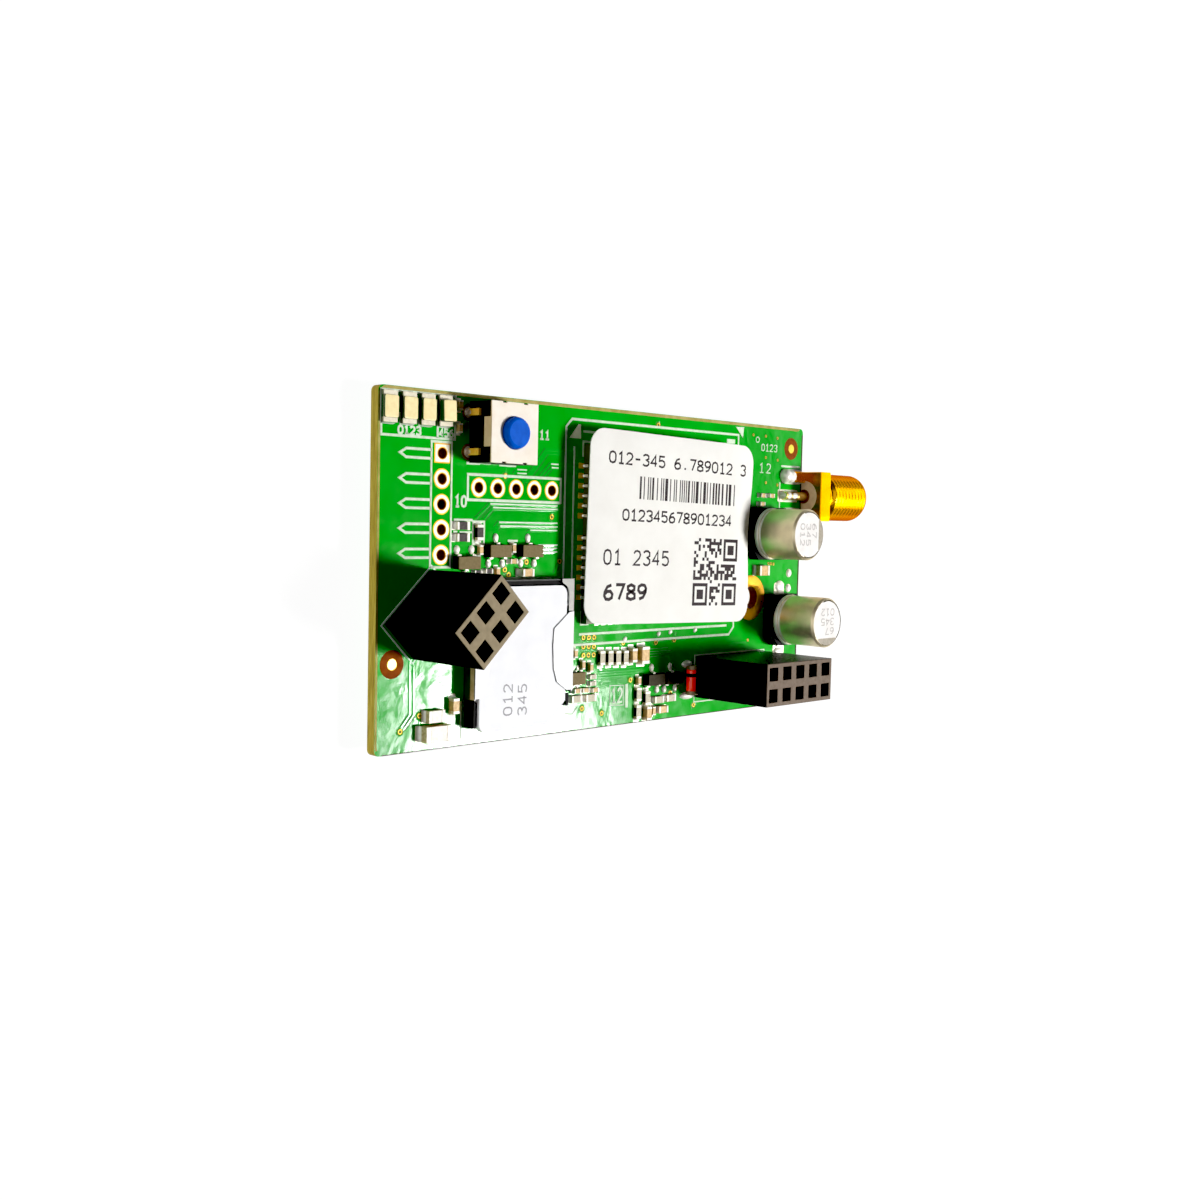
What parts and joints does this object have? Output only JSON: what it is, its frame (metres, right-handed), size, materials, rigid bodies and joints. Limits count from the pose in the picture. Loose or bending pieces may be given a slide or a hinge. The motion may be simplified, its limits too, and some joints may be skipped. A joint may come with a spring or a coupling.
{
  "type": "cellular modem circuit board",
  "caption": "Flat green circuit board with a labelled radio module, a card holder with its card, a gold edge antenna jack, angled and straight socket headers and a blue push button.",
  "frame": {"origin": "centre of the plan outline including the antenna jack, at the level of the solder tail tips on which the board rests", "axes": "+X along the board towards the antenna jack, +Y across the board towards the push switch edge, +Z out of the component side"},
  "size_m": [0.0774, 0.036, 0.014],
  "materials": {
    "green_laminate": "glossy solder mask",
    "module_laminate": "glossy",
    "lamp_base": "matte",
    "lamp_lens": "satin",
    "black_plastic": "matte",
    "blue_plastic": "satin",
    "chip_black": "matte",
    "resistor_black": "satin",
    "capacitor_tan": "matte",
    "tinned_metal": "tinned",
    "spring_steel": "bright",
    "plated_steel": "satin",
    "can_aluminium": "satin",
    "gold_plate": "polished gold plate",
    "gold_contact": "gold flash",
    "white_insulator": "waxy",
    "label_paper": "coated",
    "white_card": "satin",
    "red_glass": "clear tinted"
  },
  "bodies": {
    "board": {"circuit_board": "green_laminate", "led_bases": "lamp_base", "led_lenses": "lamp_lens", "switch_base": "black_plastic", "switch_leads": "tinned_metal", "switch_dome": "spring_steel", "switch_cover": "plated_steel", "header_2x5_housing": "black_plastic", "header_2x5_contacts": "gold_contact", "header_2x3_housing": "black_plastic", "header_2x3_contacts": "gold_contact", "antenna_jack_body": "gold_plate", "antenna_jack_insulator": "white_insulator", "antenna_jack_contact": "gold_contact", "capacitor_1_base": "black_plastic", "capacitor_1_can": "can_aluminium", "capacitor_2_base": "black_plastic", "capacitor_2_can": "can_aluminium", "capacitor_terminals": "tinned_metal", "module_board": "module_laminate", "module_processor": "chip_black", "module_amplifier": "chip_black", "module_crystal": "plated_steel", "module_shield": "plated_steel", "module_label": "label_paper", "card_holder_base": "black_plastic", "card_holder_shell": "plated_steel", "card_contacts": "gold_contact", "sim_card": "white_card", "transistor_bodies": "chip_black", "transistor_leads": "tinned_metal", "regulator_body": "chip_black", "regulator_leads": "tinned_metal", "diode_glass": "red_glass", "diode_end_caps": "tinned_metal", "chip_resistors": "resistor_black", "chip_capacitors": "capacitor_tan", "chip_terminals": "tinned_metal"},
    "button": {"switch_button": "blue_plastic"}
  },
  "joints": [
    {"name": "button_press", "type": "slide", "parent": "board", "child": "button", "axis": [0, 0, -1], "range_m": [0, 0.00025], "stiffness_N_per_m": 6400}
  ]
}
